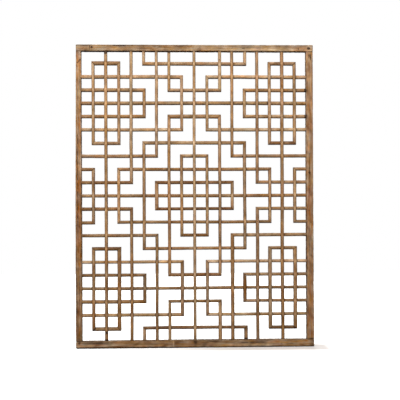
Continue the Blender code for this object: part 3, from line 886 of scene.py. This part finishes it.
def lattice_bar(bar):
    """One bar. The section's half ellipse stands on its shoulders and its sides run down to the back.
    Inside a lap a level bar loses its round front down to the lap, and an upright its back half. Near
    a mitred end each point slides along the bar by its share of the half width of the bar it meets."""
    rng = bar["rng"]
    crossings = []
    for other in bars:
        if other["upright"] == bar["upright"]:
            continue
        over = other["low"] + LAP_CLEAR < bar["line"] < other["high"] - LAP_CLEAR
        if over and bar["low"] + LAP_CLEAR < other["line"] < bar["high"] - LAP_CLEAR:
            stray = float(bow_of(other, bar["line"]))
            centre = other["line"] + (stray if other["upright"] else -stray)
            crossings.append((centre, other["half"] + LAP_GAP))
    places = bar_stations(bar, crossings)
    across, round_up, down = bar_section()
    along = np.broadcast_to(places[:, None], (len(places), len(across)))
    around = np.broadcast_to(np.arange(len(across)) * 2 * np.pi / len(across), along.shape)
    in_lap = np.zeros(len(places), bool)
    near_lap = np.zeros(len(places))
    shade_beside_lap = np.zeros(len(places))
    for centre, reach in crossings:
        distance = np.abs(places - centre)
        in_lap |= distance < reach
        near_lap = np.maximum(near_lap, np.exp(-((distance / CROSSING_WEAR) ** 2)))
        beyond = np.clip(distance - reach, 0, None)
        shade_beside_lap = np.maximum(shade_beside_lap, np.exp(-beyond / CROSSING_SHADE))
    shoulder = np.full(len(places), BAR_ROUND)
    rise = np.full(len(places), BAR_ROUND)
    back = np.full(len(places), BAR_DEPTH)
    if bar["upright"]:
        back[in_lap] = LAP_DEPTH
    else:
        shoulder[in_lap] = LAP_DEPTH + LAP_GAP
        rise[in_lap] = 0
    shoulder, rise, back = shoulder[:, None], rise[:, None], back[:, None]

    from_low, from_high = along - bar["low"], bar["high"] - along
    mitre_low = 0 if bar["low_fixed"] else 1
    mitre_high = 0 if bar["high_fixed"] else 1
    swell = 1 + waves(rng, along, np.zeros(1), 0.03, (0.05, 0.5), 5)
    half = bar["half"] * swell
    outer = (-bar["turn"] * across > 0.9).astype(float)
    for mitred, distance in ((mitre_low, from_low), (mitre_high, from_high)):
        half = half * (1 - 0.10 * mitred * outer * np.clip(1 - distance / CORNER_LOSS_REACH, 0, 1) ** 2)
    sideways = half * across
    rise = rise * (1 + waves(rng, along, np.zeros(1), 0.08, (0.03, 0.3), 5))
    deep = shoulder - rise * round_up + (back - shoulder) * down
    sideways = sideways + np.sign(across) * waves(rng, along, around, 0.00014, (0.006, 0.06))
    sideways = sideways - BAR_SKIN * np.sign(across)
    deep = deep + np.abs(waves(rng, along, around, 0.0003, (0.008, 0.12))) * (round_up > 0)
    for _ in range(1 + int((bar["high"] - bar["low"]) / NICK_SPACING)):
        centre = rng.uniform(bar["low"], bar["high"]), rng.uniform(0, 2.8)
        nick = spot(along, around, centre, NICK_REACH)
        deep = deep + NICK_DEPTH * nick * (round_up > 0) * rng.uniform(0.2, 1)
    deep = deep + float(np.clip(rng.normal(0, 0.0003), -0.0005, 0.0007)) * (down < 0.5)

    fade_low = np.clip(1 - from_low / MITRE_FADE, 0, 1) * mitre_low
    fade_high = np.clip(1 - from_high / MITRE_FADE, 0, 1) * mitre_high
    slide_low = fade_low * mate_half(bar, bar["low"])
    slide_high = fade_high * mate_half(bar, bar["high"])
    slide = bar["turn"] * across * (slide_low - slide_high)
    groove = MITRE_GROOVE * (deep < 0.006)
    at_low = (places == places[0])[:, None] * mitre_low
    at_high = (places == places[-1])[:, None] * mitre_high
    moved = along + slide + groove * at_low - groove * at_high
    stray = bow_of(bar, along)
    if bar["upright"]:
        points = np.stack([bar["line"] + stray + sideways, BAR_CROWN_Y + deep, moved], -1)
    else:
        points = np.stack([moved, BAR_CROWN_Y + deep, bar["line"] - stray - sideways], -1)

    heart = rng.uniform((0, -0.03, 0.004), (80, 0.03, 0.03))
    grain = np.stack([moved, sideways, deep], -1) + heart
    crown = np.clip(round_up, 0, 1) ** 2
    wear = 0.45 * crown + np.clip(waves(rng, along, around, 0.35, (0.02, 0.3)), 0, 1) * (round_up > 0)
    end_dirt = 0
    for strength, distance in zip(bar["joint_dirt"], (from_low, from_high)):
        end_dirt = end_dirt + strength * np.exp(-np.clip(distance, 0, None) / JOINT_DIRT)
    # Sides get dirt and painted shade that grows towards the foot, and the undersides of level bars get
    # painted shade that grows towards the top.
    lowness = (cad_high.z - points[..., 2]) / (cad_high.z - cad_low.z)
    underside_shade = 0.3 * (1 - lowness) * (not bar["upright"])
    side_dirt_and_shade = (0.22 + 0.45 * lowness + underside_shade) * (down > 0)
    dirt_and_shade = end_dirt + side_dirt_and_shade + np.clip(waves(rng, along, around, 0.25, (0.02, 0.2)), 0, 1)
    if bar["upright"]:
        wear = wear + 1.2 * near_lap[:, None] * crown
        dirt_and_shade = dirt_and_shade * (1 - 0.6 * near_lap[:, None] * crown)
    else:
        # Beside each lap a level bar darkens: painted shade in the corner where it meets the upright.
        dirt_and_shade = dirt_and_shade + 0.55 * shade_beside_lap[:, None]
    knot = np.zeros_like(along)
    for _ in range(rng.poisson(KNOTS_A_METRE * (bar["high"] - bar["low"]))):
        centre = rng.uniform(bar["low"], bar["high"]), rng.uniform(0, 3)
        knot = knot + 0.9 * spot(along, around, centre, KNOT_REACH)
    for black, distance in zip(bar["joint_black"], (from_low, from_high)):
        knot = knot + 1.4 * black * np.exp(-((distance / JOINT_BLACK) ** 2))
    for place in KNOTS.get(bar["name"], ()):
        knot = knot + 1.2 * spot(along, around, (place, 1.4), LARGE_KNOT_REACH)
    marks = np.clip(np.stack([wear, dirt_and_shade, knot], -1), 0, 1)
    drift = waves(rng, along, np.zeros(1), 0.5, (0.06, 0.6), 4)
    bright = drift + 0.42 * near_lap[:, None] * bar["upright"]
    tone = bar["tone"] + np.stack([bright, 0.6 * drift, np.zeros_like(drift)], -1)
    piece = wood_skin(bar["name"] + "_timber", points, grain, tone, marks, bar_wood)
    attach(piece, "root")
    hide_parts(bar["figure"])
    return piece


for bar in bars:
    lattice_bar(bar)

# Floor, light and camera. The panel stands on a pale floor under a large soft light from above and
# to the left, with a softer one overhead, a weak one behind and light walls around it.

FLOOR_REACH = 3
SHADED_FLOOR = (0.50, 0.45, 0.42, 1)
PALE_FLOOR = (0.86, 0.86, 0.85, 1)

# The floor carries a painted shadow: it is darker and glows less in the narrow strip that the panel stands
# on, from its middle to past its right.
floor_mesh = bpy.data.meshes.new("floor")
floor_corners = [(FLOOR_REACH * x, FLOOR_REACH * y, 0) for x, y in ((-1, -1), (1, -1), (1, 1), (-1, 1))]
floor_mesh.from_pydata(floor_corners, [], [(0, 1, 2, 3)])
floor_mesh.transform(Matrix.Translation((0, 0, cad_low.z)))
floor = bpy.data.objects.new("floor", floor_mesh)
bpy.context.scene.collection.objects.link(floor)
floor_paint = bpy.data.materials.new("floor_paint")
floor_paint.use_nodes = True
floor_shader = floor_paint.node_tree.nodes["Principled BSDF"]
floor_shader.inputs["Roughness"].default_value = 0.7
floor_shader.inputs["Specular IOR Level"].default_value = 0.2
floor_shader.inputs["Emission Color"].default_value = (1, 1, 1, 1)
tree = floor_paint.node_tree
place = add_node(tree, "ShaderNodeTexCoord").outputs["Object"]
rightward, depthward, _ = add_node(tree, "ShaderNodeSeparateXYZ", {0: place}).outputs
off_panel = maths(tree, "ABSOLUTE", maths(tree, "ADD", depthward, 0.035))
off_left = maths(tree, "MULTIPLY", between(tree, rightward, 0.25, -0.45), 0.8)
clear = maths(tree, "ADD", between(tree, off_panel, 0.035, 0.085), off_left, clamp=True)
clear = maths(tree, "ADD", clear, between(tree, rightward, 0.535, 0.60), clamp=True)
colour = mix_colour(tree, clear, SHADED_FLOOR, PALE_FLOOR)
tree.links.new(colour, floor_shader.inputs["Base Color"])
glow = maths(tree, "ADD", maths(tree, "MULTIPLY", clear, 0.55), 0.25)
tree.links.new(glow, floor_shader.inputs["Emission Strength"])
floor_mesh.materials.append(floor_paint)
floor.visible_diffuse = False
floor.visible_glossy = False


def soft_light(name, place, aim, size, power):
    """A square lamp of a given size that faces a point."""
    lamp = bpy.data.lights.new(name, "AREA")
    lamp.shape = "SQUARE"
    lamp.size = size
    lamp.energy = power
    holder = bpy.data.objects.new(name, lamp)
    turn = (Vector(aim) - Vector(place)).to_track_quat("-Z", "Y").to_matrix().to_4x4()
    holder.matrix_world = Matrix.Translation(place) @ turn
    bpy.context.scene.collection.objects.link(holder)
    return holder


soft_light("key_light", (-0.45, -2.3, 0.75), (0.0, 0.0, -0.55), 1.5, 75)
soft_light("top_light", (0.0, -0.35, 1.7), (0.0, -0.1, -1.2), 1.8, 24)
soft_light("back_light", (0.5, 2.6, 0.6), (0.0, 0.0, -0.55), 1.5, 40)

room = bpy.data.worlds.new("room")
bpy.context.scene.world = room
room.use_nodes = True
tree = room.node_tree
tree.nodes.clear()
direction = add_node(tree, "ShaderNodeTexCoord").outputs["Generated"]
upward = add_node(tree, "ShaderNodeSeparateXYZ", {0: direction}).outputs[2]
rise = {"Value": upward, "From Min": -0.15, "From Max": 0.8, "To Min": 0.03, "To Max": 0.5}
walls = add_node(tree, "ShaderNodeMapRange", rise).outputs[0]
room_light = add_node(tree, "ShaderNodeBackground", {"Color": (1, 0.985, 0.96, 1), "Strength": walls})
backdrop = add_node(tree, "ShaderNodeBackground", {"Color": (1, 1, 1, 1), "Strength": 1.0})
seen = add_node(tree, "ShaderNodeLightPath").outputs["Is Camera Ray"]
shown = {0: seen, 1: room_light.outputs[0], 2: backdrop.outputs[0]}
both = add_node(tree, "ShaderNodeMixShader", shown).outputs[0]
add_node(tree, "ShaderNodeOutputWorld", {0: both})
bpy.context.scene.view_settings.view_transform = "Standard"

SENSOR_WIDTH = 36
IMAGE_WIDTH = 400
FOCAL_PIXELS = 667.1
CAMERA_PLACE = (-0.0719, -2.825, -0.6569)

pan, tilt, roll = np.radians([-1.880, 0.358, 0.249])
lens = bpy.data.cameras.new("camera")
lens.sensor_width = SENSOR_WIDTH
lens.lens = SENSOR_WIDTH * FOCAL_PIXELS / IMAGE_WIDTH
camera = bpy.data.objects.new("camera", lens)
turn = Matrix.Rotation(pan, 4, "Z") @ Matrix.Rotation(tilt, 4, "X") @ Matrix.Rotation(roll, 4, "Y")
level_view = Matrix.Rotation(math.pi / 2, 4, "X")
camera.matrix_world = Matrix.Translation(CAMERA_PLACE) @ turn @ level_view
bpy.context.scene.collection.objects.link(camera)
bpy.context.scene.camera = camera
